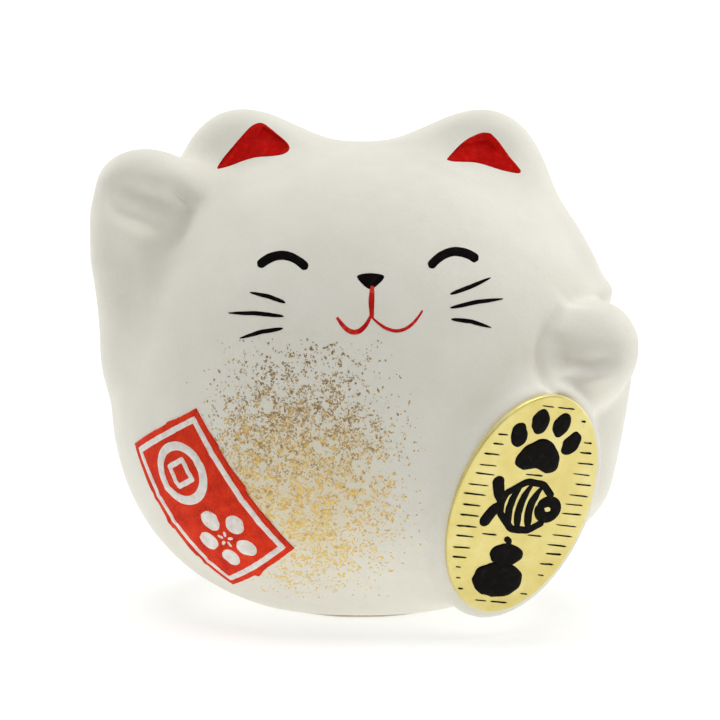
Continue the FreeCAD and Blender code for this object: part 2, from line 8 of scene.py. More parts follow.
import bmesh
import bpy
import numpy as np
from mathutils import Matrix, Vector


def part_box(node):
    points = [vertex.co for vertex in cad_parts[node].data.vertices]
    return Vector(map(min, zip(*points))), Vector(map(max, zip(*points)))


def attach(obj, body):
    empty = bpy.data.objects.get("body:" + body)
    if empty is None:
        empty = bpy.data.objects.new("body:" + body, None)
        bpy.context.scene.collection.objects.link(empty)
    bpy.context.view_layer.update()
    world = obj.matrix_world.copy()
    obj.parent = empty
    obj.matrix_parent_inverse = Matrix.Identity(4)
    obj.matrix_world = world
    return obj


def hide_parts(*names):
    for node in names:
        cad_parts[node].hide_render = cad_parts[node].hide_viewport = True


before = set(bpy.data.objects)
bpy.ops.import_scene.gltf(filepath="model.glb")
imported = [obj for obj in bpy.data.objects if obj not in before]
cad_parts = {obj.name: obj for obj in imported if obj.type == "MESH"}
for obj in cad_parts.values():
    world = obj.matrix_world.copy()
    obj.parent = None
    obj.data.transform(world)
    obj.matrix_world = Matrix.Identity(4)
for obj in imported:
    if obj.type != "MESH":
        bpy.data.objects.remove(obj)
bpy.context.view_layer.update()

METRES = 0.001
scene = bpy.context.scene

# ---- The design's driving dimensions (mm) ----
BODY_HALF = (34.4, 31.8, 32.4)
BODY_CENTRE_HEIGHT = 31.2
PLAN_POWER = 2.1
SIDE_POWER = 2.38
RAY_CENTRE = np.array([0.0, 0.0, 32.0])
EAR_CENTRE = (14.9, -2.5, 56.8)
EAR_HALF = (9.4, 6.2, 11.6)
EAR_TILT = 20.0
RAISED_ARM = ((-27.6, -6.5, 36.0), (-29.2, -9.0, 54.0), 7.0, 7.2)
RAISED_PAW = ((-28.0, -11.9, 58.6), (6.8, 5.0, 4.8), 8.0)
LOWERED_ARM = ((27.6, -7.0, 19.0), (30.0, -10.0, 33.0), 5.4, 5.8)
LOWERED_PAW = ((29.4, -16.4, 36.4), (6.7, 7.2, 7.8), 38.0)
TAIL = ((-4.0, 25.6, 13.5), (7.5, 6.8, 6.2), 0.0)
PAD_CENTRE = np.array([21.1, -25.6, 17.6])
PAD_NORMAL = np.array([0.42, -0.87, -0.25])
PAD_LONG_WAY = np.array([10.1, -3.46, 29.0])
PAD_HALF = (16.5, 11.2)
PAD_DEPTH = 8.0
PAD_TOP = -0.5
BLENDS = {"ear": 7.0, "paw_fold": 3.2, "raised_arm": 5.0, "lowered_arm": 6.0, "lowered_paw": 1.5,
          "tail": 4.0, "pad_edge": 1.6, "pad": 3.0, "base": 1.0}
FOOT_HEIGHT = 0.33
PAPER = 0.20
GAP = 0.03      # between the plate and its pad

LABEL_AZIMUTH, LABEL_ELEVATION, LABEL_ROLL = 42.6, -25.0, 27.0
LABEL_SIZE = (16.0, 24.2)
LABEL_REACH = 34.0
PLATE_HALF = (15.4, 10.2)
PLATE_SHIFT = (0.6, 0.6)
PLATE_TURN = 1.5
PLATE_THICKNESS = 0.8

# ---- Where rays towards the body start ----
OUTSIDE = 62.0      # from the middle of the body, all round
IN_FRONT = -60.0


# ---- Vectors and noise, on arrays of points ----
def unit(v):
    v = np.asarray(v, float)
    return v / np.linalg.norm(v, axis=-1, keepdims=True)


def smoothstep(low, high, x):
    t = np.clip((x - low) / (high - low), 0, 1)
    return t * t * (3 - 2 * t)


def lattice(ix, iy, iz, seed):
    """A repeatable number from 0 to 1 for each lattice point."""
    n = (ix * 374761393 + iy * 668265263 + iz * 1440662683 + seed * 974711) & 0xFFFFFFFF
    n = ((n ^ (n >> 13)) * 1274126177) & 0xFFFFFFFF
    return ((n ^ (n >> 16)) & 0xFFFF) / 65535.0


def noise(p, size, seed):
    """Smooth noise from -1 to 1 with lumps of that size."""
    q = np.asarray(p, float) / size + 1000.0
    base = np.floor(q).astype(np.int64)
    f = q - base
    f = f * f * f * (f * (f * 6 - 15) + 10)
    total = 0.0
    for corner in range(8):
        step = (corner & 1, corner >> 1 & 1, corner >> 2 & 1)
        weight = 1.0
        for axis in range(3):
            weight = weight * (f[..., axis] if step[axis] else 1 - f[..., axis])
        total = total + weight * lattice(base[..., 0] + step[0], base[..., 1] + step[1],
                                         base[..., 2] + step[2], seed)
    return total * 2 - 1


def flat_noise(x, y, size, seed, z=0.0):
    """The same noise for points given by their coordinates."""
    return noise(np.stack(np.broadcast_arrays(x, y, z), -1), size, seed)


# ---- Rounded forms: signed distances, positive outside ----
def smooth_min(a, b, k):
    h = np.maximum(k - np.abs(a - b), 0) / k
    return np.minimum(a, b) - h * h * k / 4


def smooth_max(a, b, k):
    return -smooth_min(-a, -b, k)


def turned(x, y, angle):
    """Both coordinates of points turned by an angle in radians."""
    c, s = np.cos(angle), np.sin(angle)
    return c * x - s * y, s * x + c * y


def ellipsoid(p, centre, half, tilt):
    q = p - np.array(centre)
    x, z = turned(q[..., 0], q[..., 2], math.radians(tilt))
    q = np.stack([x, q[..., 1], z], -1)
    k0 = np.linalg.norm(q / np.array(half), axis=-1)
    k1 = np.linalg.norm(q / np.array(half) ** 2, axis=-1) + 1e-9
    return k0 * (k0 - 1) / k1


def capsule(p, start, end, start_radius, end_radius):
    start, way = np.array(start), np.array(end) - np.array(start)
    t = np.clip((p - start) @ way / (way @ way), 0, 1)
    away = np.linalg.norm(p - start - t[..., None] * way, axis=-1)
    return away - (start_radius + (end_radius - start_radius) * t)


def round_body(p):
    a, b, c = BODY_HALF
    ax, ay = np.abs(p[..., 0]) / a, np.abs(p[..., 1]) / b
    az = np.abs(p[..., 2] - BODY_CENTRE_HEIGHT) / c
    plan = ax ** PLAN_POWER + ay ** PLAN_POWER + 1e-12
    side = plan ** (SIDE_POWER / PLAN_POWER) + az ** SIDE_POWER + 1e-12
    k = side ** (1 / SIDE_POWER - 1)
    flat = k * plan ** (SIDE_POWER / PLAN_POWER - 1)
    slope = np.sqrt((flat * ax ** (PLAN_POWER - 1) / a) ** 2
                    + (flat * ay ** (PLAN_POWER - 1) / b) ** 2
                    + (k * az ** (SIDE_POWER - 1) / c) ** 2) + 1e-9
    return (side ** (1 / SIDE_POWER) - 1) / slope


PAD_N = unit(PAD_NORMAL)
PAD_U = unit(PAD_LONG_WAY - PAD_N * (PAD_LONG_WAY @ PAD_N))
PAD_V = np.cross(PAD_N, PAD_U)


def plate_pad(p):
    q = p - PAD_CENTRE
    u, v, w = q @ PAD_U, q @ PAD_V, q @ PAD_N
    rim = (np.sqrt((u / PAD_HALF[0]) ** 2 + (v / PAD_HALF[1]) ** 2) - 1) * PAD_HALF[1]
    cap = np.abs(w - PAD_TOP + PAD_DEPTH / 2) - PAD_DEPTH / 2
    return smooth_max(rim, cap, BLENDS["pad_edge"])


def body(p):
    """Height over the figurine's papered surface, before its paper's relief."""
    d = round_body(p)
    for side in (-1, 1):
        centre = (side * EAR_CENTRE[0], EAR_CENTRE[1], EAR_CENTRE[2])
        d = smooth_min(d, ellipsoid(p, centre, EAR_HALF, side * EAR_TILT), BLENDS["ear"])
    arm = smooth_min(capsule(p, *RAISED_ARM), ellipsoid(p, *RAISED_PAW), BLENDS["paw_fold"])
    d = smooth_min(d, arm, BLENDS["raised_arm"])
    d = smooth_min(d, capsule(p, *LOWERED_ARM), BLENDS["lowered_arm"])
    d = smooth_min(d, ellipsoid(p, *LOWERED_PAW), BLENDS["lowered_paw"])
    d = smooth_min(d, ellipsoid(p, *TAIL), BLENDS["tail"])
    d = smooth_min(d, plate_pad(p), BLENDS["pad"])
    return smooth_max(d, FOOT_HEIGHT - p[..., 2], BLENDS["base"])


def normals(p):
    e = 0.03
    steps = np.eye(3) * e
    return unit(np.stack([body(p + s) - body(p - s) for s in steps], -1))


def meet(start, way, most_steps=90, near_enough=2e-4):
    """Where rays from start along way come down to the body."""
    t = np.zeros(start.shape[:-1])
    for _ in range(most_steps):
        gap = body(start + way * t[..., None])
        t += 0.7 * gap
        if np.abs(gap).max() < near_enough:
            break
    return start + way * t[..., None]


def from_outside(ways):
    """Points of the body's plain form, in directions (unit vectors) from its middle."""
    return meet(RAY_CENTRE + ways * OUTSIDE, -ways)


def from_front(x, z):
    """Points of the body's plain form, given as they are seen from the front."""
    start = np.stack(np.broadcast_arrays(x, IN_FRONT, z), -1)
    return meet(start, np.array([0.0, 1.0, 0.0]))


# ---- The paper's relief ----
def path_distance(p, path):
    """How far points are from a path, and how far along it, 0 to 1, they are nearest."""
    path = np.array(path, float)
    lengths = np.linalg.norm(np.diff(path, axis=0), axis=1)
    nearest = np.full(p.shape[:-1], 1e9)
    along = np.zeros(p.shape[:-1])
    done = 0.0
    for start, end, length in zip(path[:-1], path[1:], lengths):
        way = (end - start) / length
        t = np.clip((p - start) @ way, 0, length)
        away = np.linalg.norm(p - start - t[..., None] * way, axis=-1)
        closer = away < nearest
        nearest = np.where(closer, away, nearest)
        along = np.where(closer, (done + t) / lengths.sum(), along)
        done += length
    return nearest, along


def smooth_curve(points, steps):
    """The smooth curve from the second point up to the last but one, steps to a span."""
    p = np.array(points, float)
    t = (np.arange(steps) / steps)[None, :, None]
    before, start, end, after = (p[i:i + len(p) - 3, None] for i in range(4))
    turn_in = 2 * before - 5 * start + 4 * end - after
    turn_out = 3 * start - before - 3 * end + after
    curve = 2 * start + (end - before) * t + turn_in * t ** 2 + turn_out * t ** 3
    return 0.5 * curve.reshape(-1, 2)


def smooth_outline(points):
    """A closed curve through the points."""
    return smooth_curve([points[-1], *points, *points[:2]], 8)


def smooth_line(points):
    """An open curve through the points."""
    p = np.array(points, float)
    return np.concatenate([smooth_curve([2 * p[0] - p[1], *p, 2 * p[-1] - p[-2]], 3), p[-1:]])


# Moulded creases. Each has its points across and up, its height (a groove is below 0), its width,
# and the shares of its length over which it fades in and out.
FOLDS = [
    # raised paw
    ([(-34.2, 59.2), (-29.0, 57.2), (-22.5, 56.0)], -1.15, 2.3, 0.35, 0.25),
    ([(-34.2, 57.3), (-29.5, 55.2), (-24.5, 53.8)], 1.10, 1.7, 0.35, 0.40),
    ([(-22.0, 58.5), (-23.5, 53.8), (-26.5, 48.5)], -1.20, 0.85, 0.30, 0.50),
    ([(-31.5, 53.0), (-31.0, 39.5)], -0.55, 2.3, 0.35, 0.45),
    # lowered paw
    ([(26.0, 44.0), (23.2, 39.0), (24.0, 34.2), (28.5, 31.0)], -0.85, 0.95, 0.50, 0.20),
    ([(28.0, 43.5), (25.6, 38.6)], 0.55, 2.8, 0.30, 0.30),
    ([(24.5, 37.4), (30.0, 36.4), (34.2, 37.6)], -0.80, 1.5, 0.20, 0.35),
    ([(25.2, 34.6), (30.0, 34.6), (33.6, 35.6)], 0.55, 1.2, 0.20, 0.40),
    ([(25.6, 35.0), (27.6, 36.6)], -0.22, 0.45, 0.3, 0.5),
    ([(26.8, 33.6), (29.2, 35.6)], -0.24, 0.45, 0.3, 0.5),
]
# Low swellings beside the head, above the lowered paw and on the raised forearm, given in space
SWELLINGS = [
    ([(25.0, -4.0, 59.0), (33.5, -9.0, 41.0)], 1.05, 3.6, 0.45, 0.20),
    ([(28.5, -17.0, 43.8), (33.0, -2.0, 43.2)], 0.90, 1.9, 0.30, 0.30),
    ([(-35.5, -12.5, 55.0), (-34.5, -10.5, 37.0)], 0.85, 3.6, 0.40, 0.65),
]
CREASES = [(from_front(*smooth_line(points).T), *rest) for points, *rest in FOLDS] + SWELLINGS
# Edges of the paper strips: the way each faces, and how far it lies from the middle of the body
OVERLAPS = [((0.25, 0.30, 0.92), 9.0), ((-0.85, 0.35, 0.40), 6.0), ((0.80, 0.45, -0.40), 3.0),
            ((-0.15, 0.50, -0.85), 12.0), ((0.55, 0.20, 0.81), -14.0)]
STEP = 0.05             # height of an edge
STEP_SPREAD = 0.10      # how gently it rises, on either side
STEP_FADE = 4.0         # how far behind it the paper is level again
FRONT_SHARE = 0.15      # how much of a step is left on the smoother front
FRONT_FADE = (-14, 2)   # Y between the front and where the steps are whole
UNEVENNESS = [(0.05, 11, 1), (0.018, 4.5, 2), (0.006, 1.3, 3)]      # height, size and seed
PLEAT_HEIGHT, PLEAT_WAVE = 0.06, 34     # beside the raised paw's fold
PLEAT_OFFSET, PLEAT_REACH = 0.6, 1.6
# The hollow in the front of each ear: middle, half sizes and tilt
EAR_DISH = ((15.0, -8.8, 63.2), (6.0, 6.0, 3.6), 16.0)
EAR_DISH_DEPTH = 0.45


def torn_overlaps(p):
    """Low steps where one torn strip of paper lies over the next, fewest on the front."""
    total = np.zeros(p.shape[:-1])
    for i, (way, place) in enumerate(OVERLAPS):
        s = (p - RAY_CENTRE) @ unit(way) - place + 1.1 * noise(p, 7, 40 + i)
        s = s + 0.18 * noise(p, 0.9, 50 + i)
        rise = smoothstep(-STEP_SPREAD, STEP_SPREAD, s)
        total += STEP * rise * np.exp(-np.maximum(s, 0) / STEP_FADE)
    return total * (FRONT_SHARE + (1 - FRONT_SHARE) * smoothstep(*FRONT_FADE, p[..., 1]))


def relief(p):
    """Height of the finished paper over the body's plain form."""
    height = sum(lift * noise(p, size, seed) for lift, size, seed in UNEVENNESS)
    height += torn_overlaps(p)
    for crease, lift, width, fade_in, fade_out in CREASES:
        away, along = path_distance(p, crease)
        ends = smoothstep(0, fade_in, along) * smoothstep(1, 1 - fade_out, along)
        height += lift * np.exp(-(away / width) ** 2) * ends
    away, along = path_distance(p, CREASES[0][0])
    pleats = np.sin(along * PLEAT_WAVE + 2.0 * noise(p, 2.2, 5)) * smoothstep(0.1, 0.3, along)
    beside = np.exp(-((away - PLEAT_OFFSET) / PLEAT_REACH) ** 2)
    height += PLEAT_HEIGHT * pleats * beside * smoothstep(0.95, 0.7, along)
    (x, y, z), half, tilt = EAR_DISH
    for side in (-1, 1):
        dish = ellipsoid(p, (side * x, y, z), half, side * tilt)
        height -= EAR_DISH_DEPTH * smoothstep(1.2, -2.6, dish)
    foot = smoothstep(FOOT_HEIGHT + 0.8, FOOT_HEIGHT + 0.1, p[..., 2])
    return height * (1 - foot)


def raised_by(p, lift):
    """Points on the body's plain form, lifted over the finished paper by lift."""
    return p + normals(p) * (relief(p) + lift)[..., None]


def on_front(x, z, lift):
    return raised_by(from_front(x, z), lift)


# ---- Meshes ----
def placed(name, data):
    """A new object in the scene, with that mesh, lamp or camera."""
    thing = bpy.data.objects.new(name, data)
    scene.collection.objects.link(thing)
    return thing


def mesh_piece(name, solid, material, replaces, smooth=True):
    """A piece of the figurine from the points, in mm, and faces of its solid."""
    points, faces = solid
    mesh = bpy.data.meshes.new(name)
    mesh.from_pydata((points * METRES).tolist(), [], faces)
    mesh.validate()
    outside = bmesh.new()
    outside.from_mesh(mesh)
    bmesh.ops.recalc_face_normals(outside, faces=outside.faces)
    outside.to_mesh(mesh)
    outside.free()
    mesh.shade_smooth() if smooth else mesh.shade_flat()
    mesh.materials.append(material)
    piece = placed(name, mesh)
    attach(piece, "root")
    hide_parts(*replaces)


def grid_quads(rows, columns):
    i, j = np.meshgrid(np.arange(rows - 1), np.arange(columns - 1), indexing="ij")
    a = i * columns + j
    return np.stack([a, a + columns, a + columns + 1, a + 1], -1).reshape(-1, 4)


def slab(low, high):
    """Points and faces of a thin closed solid between two matching grids of points."""
    rows, columns = high.shape[:2]
    count = rows * columns
    index = np.arange(count).reshape(rows, columns)
    rim = np.concatenate([index[0], index[1:, -1], index[-1, -2::-1], index[-2:0:-1, 0]])
    after = np.roll(rim, -1)
    quads = grid_quads(rows, columns)
    faces = np.concatenate([quads, quads[:, ::-1] + count,
                            np.stack([rim, after, after + count, rim + count], -1)])
    return np.concatenate([high.reshape(-1, 3), low.reshape(-1, 3)]), faces.tolist()


def joined(parts):
    """Several solids' points and faces as one."""
    points, faces, count = [], [], 0
    for more_points, more_faces in parts:
        points.append(more_points)
        faces += [[i + count for i in face] for face in more_faces]
        count += len(more_points)
    return np.concatenate(points), faces


def ring(count):
    """Points evenly round a level circle of radius 1."""
    turn = np.arange(count) / count * 2 * np.pi
    return np.stack([np.cos(turn), np.sin(turn), 0 * turn], -1)


def ring_quads(rows, count, first=0):
    """Faces between rows of points, each row a ring of that many points."""
    start = first + np.arange(rows - 1)[:, None] * count
    here, after = start + np.arange(count), start + (np.arange(count) + 1) % count
    return np.stack([here, here + count, after + count, after], -1).reshape(-1, 4).tolist()


def fan(tip, first, count):
    """Triangles from a tip to a ring of points."""
    here = first + np.arange(count)
    return np.stack([np.full(count, tip), here, np.roll(here, -1)], -1).tolist()


def oval(centre, half, count, turn):
    x, y, _ = ring(count).T
    return np.stack(turned(half[0] * x, half[1] * y, turn), -1) + centre


def closed_rings(rows, base, tip):
    """Points and faces of a solid: rows of rings, and a point that closes it at either end."""
    count = len(rows[0])
    points = np.concatenate(rows + [[base, tip]])
    end = len(points) - 2
    ends = fan(end, 0, count) + fan(end + 1, end - count, count)
    return points, ring_quads(len(rows), count) + ends


def uneven(outline, amount, size, seed):
    """An outline with the small wobble of a brush or a print."""
    out = unit(outline - outline.mean(0))
    return outline + out * (amount * flat_noise(*outline.T, size, seed))[:, None]


RIM = 0.35      # height of a painted edge, as a share of the paint's full height


def blob(outline, paint, rings=7):
    """A filled patch of paint with a rounded rim."""
    place, low, high = paint
    count = len(outline)
    middle = outline.mean(0)
    share = np.linspace(0, 1, rings)[1:] ** 0.8
    points = middle + (outline - middle)[None] * share[:, None, None]
    crown = high * (1 - (1 - RIM) * share ** 4)
    tip = place(middle[:1], middle[1:], high)
    top = place(points[..., 0], points[..., 1], crown[:, None])
    points = np.concatenate([tip, top.reshape(-1, 3), place(*outline.T, low)])
    under = list(range(len(points) - 1, len(points) - count - 1, -1))
    return points, fan(0, 1, count) + ring_quads(rings, count, 1) + [under]


STROKE_ROWS = 7     # across a stroke


def stroke(path, half_width, paint, count, seed, wobble=0.06, taper=None):
    """A brush stroke of count points along a path, thicker in its middle than at its edges."""
    place, low, high = paint
    path = np.array(path, float)
    gaps = np.concatenate([[0], np.cumsum(np.linalg.norm(np.diff(path, axis=0), axis=1))])
    t = np.linspace(0, 1, count)
    line = np.stack([np.interp(t * gaps[-1], gaps, places) for places in path.T], -1)
    for _ in range(max(count // 14, 1)):
        line[1:-1] = (line[:-2] + 2 * line[1:-1] + line[2:]) / 4
    way = unit(np.gradient(line, axis=0))
    beside = np.stack([-way[:, 1], way[:, 0]], -1)
    reach = half_width * (taper(t) if taper else round_ends(t, half_width / gaps[-1]))
    shares = np.sin(np.linspace(-1, 1, STROKE_ROWS) * np.pi / 2)
    lines = []
    for share in shares:
        rough = flat_noise(*line.T, 0.7, seed, share)
        lines.append(line + beside * (reach * share * (1 + wobble * rough))[:, None])
    grid = np.stack(lines)
    crown = high * (RIM + (1 - RIM) * np.sqrt(1 - np.abs(shares) ** 3))
    top = place(grid[..., 0], grid[..., 1], crown[:, None])
    bottom = place(grid[..., 0], grid[..., 1], low)
    return slab(bottom, top)


def round_ends(t, share):
    """Width of a stroke whose ends are round, for a half width that is that share of its length."""
    near = np.minimum(t, 1 - t) / max(share, 1e-6)
    return np.sqrt(np.clip(1 - (1 - np.clip(near, 0, 1)) ** 2, 0.02, 1))


def brush_taper(t):
    """Width of a stroke pressed hardest a third of the way along and drawn out to a point."""
    return 0.15 + 0.85 * np.clip(1 - np.abs(2 * t ** 0.8 - 1) ** 2.6, 0, 1) ** 0.8


def arch(centre, half_length, rise, tilt):
    s = np.linspace(-1, 1, 24)
    curve = turned(half_length * s, rise * (1 - s ** 2), math.radians(tilt))
    return np.stack(curve, -1) + centre


# ---- Places on the object ----
def label_axes():
    azimuth, elevation, roll = np.radians([LABEL_AZIMUTH, LABEL_ELEVATION, LABEL_ROLL])
    out = np.array([-math.sin(azimuth) * math.cos(elevation),
                    -math.cos(azimuth) * math.cos(elevation), math.sin(elevation)])
    level = unit(np.cross([0, 0, 1], out))
    across = math.cos(roll) * level + math.sin(roll) * np.cross(out, level)
    return out, across, np.cross(out, across)


LABEL_OUT, LABEL_ACROSS, LABEL_ALONG = label_axes()
LABEL_BOW = 0.45    # how far its middle was pulled sideways as it was smoothed down
# Pleats across the label: place along it, lean and height
PLEATS = [(4.6, 0.10, 0.30), (-0.9, -0.16, 0.34), (-6.4, 0.06, 0.26)]


def label_creases(a, b):
    """Lift of the label's wrinkles over the body's paper."""
    lift = np.zeros(np.broadcast(a, b).shape)
    for along, lean, height in PLEATS:
        s = b - along - lean * a
        lift = lift + height * 0.38 * np.exp(-(s / 0.42) ** 2) + 0.04 * np.exp(-np.abs(s) / 2.5)
    return lift + 0.022 * flat_noise(a, b, 2.4, 21) + 0.010 * flat_noise(a, b, 0.8, 22)


def on_label(a, b, lift):
    a = a + LABEL_BOW * (1 - (2 * b / LABEL_SIZE[1]) ** 2)
    way = LABEL_OUT * LABEL_REACH + a[..., None] * LABEL_ACROSS + b[..., None] * LABEL_ALONG
    return raised_by(from_outside(unit(way)), lift + label_creases(a, b))


PLATE_CENTRE = (PAD_CENTRE + PAD_U * PLATE_SHIFT[0] + PAD_V * PLATE_SHIFT[1]
                + PAD_N * (PAD_TOP + GAP))
PLATE_ALONG = unit(PAD_U + PAD_V * math.tan(math.radians(PLATE_TURN)))
PLATE_ACROSS = np.cross(PAD_N, PLATE_ALONG)


def on_plate(u, v, height):
    return (PLATE_CENTRE + u[..., None] * PLATE_ALONG + v[..., None] * PLATE_ACROSS
            + np.asarray(height)[..., None] * PAD_N)


def plate_face(u, v, lift):
    """A place on the plate's gold face."""
    return on_plate(u, v, lift + PLATE_THICKNESS)


# Each kind of paint: the surface it lies on, and its lowest and highest level over that
PAINT = (on_front, -0.05, 0.05)
PRINT = (on_label, 0.06, 0.15)
LACQUER = (plate_face, -0.03, 0.09)


# ---- Paper cover ----
SHEET_GRID = 118        # points along each side of a patch
SHEET_THICKNESS = 0.17
SEAM_LAP = 0.045        # each half goes this share of 45 degrees past the side
SEAM_TEAR = 0.022       # how unevenly the front half is torn there
SEAM_LIFT = 0.12        # how far the front half is raised, to lie over the back half
SEAM_THINNING = 0.08    # and how much thinner it gets


def sheet_directions(front):
    """Patches of directions that cover half of the body: one ahead, and one at each side."""
    facing = np.array([0.0, -1.0 if front else 1.0, 0.0])
    sides = np.array([(1.0, 0, 0), (-1.0, 0, 0), (0, 0, 1.0), (0, 0, -1.0)])
    whole = np.tan(np.linspace(-1, 1, SHEET_GRID) * np.pi / 4)
    patches = [facing + whole[:, None, None] * sides[0] + whole[None, :, None] * sides[2]]
    half = np.linspace(0, 1, SHEET_GRID // 2 + 2)
    for side in sides:
        along = sides[2] if side[2] == 0 else sides[0]
        rim = side + whole[:, None] * along
        lap = np.full(SHEET_GRID, SEAM_LAP)
        if front:
            rim_points = unit(rim) * 34.0
            lap += SEAM_TEAR * (noise(rim_points, 5.0, 30) + 0.5 * noise(rim_points, 1.3, 31))
        turn = -lap + (1 + lap) * half[:, None]
        patches.append(rim[None] + np.tan(turn * np.pi / 4)[..., None] * facing)
    return patches


def washi_sheet(name, front, material):
    """Half of the paper cover. The front half laps over the back half with a torn edge."""
    patches = [unit(patch) for patch in sheet_directions(front)]
    rows = np.concatenate([patch.reshape(-1, 3) for patch in patches])
    _, first, place = np.unique(np.round(rows, 6), axis=0, return_index=True, return_inverse=True)
    directions = rows[first]
    plain = from_outside(directions)
    out = normals(plain)
    near_seam = smoothstep(-3.0, -1.2, plain[:, 1]) if front else np.zeros(len(plain))
    top = plain + out * (relief(plain) + SEAM_LIFT * near_seam)[:, None]
    under = top - out * (SHEET_THICKNESS - SEAM_THINNING * near_seam)[:, None]
    count = len(directions)
    quads, rims = [], []
    ends = np.cumsum([patch[..., 0].size for patch in patches])[:-1]
    for patch, index in zip(patches, np.split(place.reshape(-1), ends)):
        deep, wide = patch.shape[:2]
        quads.append(index[grid_quads(deep, wide)])
        if deep != wide:
            rims.append(np.stack([index[:wide - 1], index[1:wide]], -1))
    quads, rims = np.concatenate(quads), np.concatenate(rims)
    edges = np.stack([rims[:, 0], rims[:, 1], rims[:, 1] + count, rims[:, 0] + count], -1)
    faces = quads.tolist() + (quads[:, ::-1] + count).tolist() + edges.tolist()
    node = "washi_front_sheet" if front else "washi_back_sheet"
    mesh_piece(name, (np.concatenate([top, under]), faces), material, [node])


# ---- Face ----
EYE_HALF_WIDTH = 0.56
WHISKER_HALF_WIDTH = 0.27


def face_patch(name, corners, material, node, seed, rings):
    outline = uneven(smooth_outline(corners), 0.03, 0.8, seed)
    mesh_piece(name, blob(outline, PAINT, rings), material, [node])


def face_strokes(name, strokes, material, node, seed, wobble=0.06):
    """Strokes that are one piece: the path, half width and taper of each."""
    parts = [stroke(path, half_width, PAINT, 48, seed + i, wobble, taper)
             for i, (path, half_width, taper) in enumerate(strokes)]
    mesh_piece(name, joined(parts), material, [node])


def eye(x, z, tilt):
    return [(arch((x, z), 3.2, 1.5, tilt), EYE_HALF_WIDTH, None)]


def whiskers(paths):
    return [(path, WHISKER_HALF_WIDTH, brush_taper) for path in paths]


# Painted outlines and whiskers, across and up, seen from the front
RIGHT_EAR = [(-19.3, 61.1), (-18.3, 62.8), (-15.2, 66.0), (-13.6, 66.6), (-12.0, 65.8),
             (-9.8, 64.0), (-10.4, 62.9), (-14.5, 62.5), (-18.5, 61.1)]
LEFT_EAR = [(11.5, 62.5), (13.8, 64.6), (16.4, 65.5), (18.0, 64.7), (20.3, 61.7), (21.2, 60.2),
            (19.8, 60.3), (15.5, 61.8), (11.9, 62.0)]
NOSE = [(-0.6, 48.4), (1.1, 48.75), (2.8, 48.4), (2.1, 47.4), (1.1, 46.8), (0.1, 47.4)]


def smile():
    """The lip and the two curves under it: path, half width and how the width runs."""
    x, low = 1.25, 43.4
    upright = [(x + 0.05, 47.2), (x - 0.05, 45.2), (x, low - 0.1)]
    right = arch((x - 2.25, low + 0.05), 2.2, -2.0, 4.0)[::-1]
    left = arch((x + 3.25, low + 0.3), 3.25, -2.1, 7.0)
    return [(upright, 0.36, lambda t: 0.7 + 0.3 * np.sin(np.pi * t)), (right, 0.32, swelling),
            (left, 0.22, swelling)]


def swelling(t):
    return 0.45 + 0.55 * np.sin(np.pi * np.clip(t * 0.9 + 0.05, 0, 1))


RIGHT_WHISKERS = [[(-9.8, 45.0), (-12.0, 45.7), (-14.4, 46.1)],
                  [(-10.0, 43.3), (-13.6, 43.55), (-17.2, 43.4)],
                  [(-10.1, 41.8), (-12.9, 41.25), (-15.7, 40.3)]]
LEFT_WHISKERS = [[(11.3, 46.0), (13.9, 46.8), (16.6, 47.8)],
                 [(11.3, 44.3), (14.7, 44.9), (18.2, 45.1)],
                 [(11.4, 42.9), (14.0, 42.5), (16.6, 41.6)]]


# ---- Label ----
LABEL_LOW, LABEL_HIGH = -0.06, 0.10
FRAME_INSET = 1.35
COIN_CENTRE = np.array([0.0, 5.1])
COIN_RADIUS = 3.85
COIN_HOLE_HALF = 1.45
FLOWER_CENTRE = np.array([0.0, -5.3])
PETAL_REACH = 3.15
PETAL_HALF = (1.75, 1.62)


def label_edge(t, seed, jogs):
    """Sideways wander of a label's edge, with a jog at each pleat."""
    along = t * 24
    wander = 0.07 * flat_noise(along, 0, 3.0, seed) + 0.03 * flat_noise(along, 0, 0.7, seed + 1)
    for place, size in jogs:
        wander += size * smoothstep(place - 0.006, place + 0.006, t)
        wander -= size * smoothstep(place, place + 0.16, t)
    return wander


def label_sheet(material):
    s, t = np.meshgrid(np.linspace(0, 1, 70), np.linspace(0, 1, 110), indexing="ij")
    left = label_edge(t, 23, [(0.27, -0.34), (0.47, -0.40), (0.70, -0.22)])
    right = label_edge(t, 25, [(0.45, 0.30), (0.73, 0.18)])
    bottom = label_edge(s, 27, [(0.42, -0.45)])
    top = label_edge(s, 28, [(0.60, 0.10)])
    a = (s - 0.5) * LABEL_SIZE[0] + left * (1 - s) + right * s
    b = (t - 0.5) * LABEL_SIZE[1] + bottom * (1 - t) + top * t
    solid = slab(on_label(a, b, LABEL_LOW), on_label(a, b, LABEL_HIGH))
    mesh_piece("label_paper_sheet", solid, material, ["label_paper"])


def numbered_edges(corners):
    """Each edge's number and two corners, round a closed outline."""
    return enumerate(zip(corners, corners[1:] + corners[:1]))


def on_line(start, end, shares):
    """Points at shares of the way from start to end."""
    return [np.array(start) + np.subtract(end, start) * share for share in shares]


def label_frame(material):
    a, b = LABEL_SIZE[0] / 2 - FRAME_INSET, LABEL_SIZE[1] / 2 - FRAME_INSET
    parts = []
    for i, (start, end) in numbered_edges([(-a, b), (a, b), (a, -b), (-a, -b)]):
        past = unit(np.subtract(end, start)) * 0.4 * (i % 2)
        path = on_line(start - past, end + past, np.linspace(0, 1, 12))
        parts.append(stroke(path, 0.50, PRINT, 90, 70 + i, 0.10, np.ones_like))
    mesh_piece("label_frame_print", joined(parts), material, ["label_frame"])


def towards(turn):
    return np.array([math.cos(turn), math.sin(turn)])


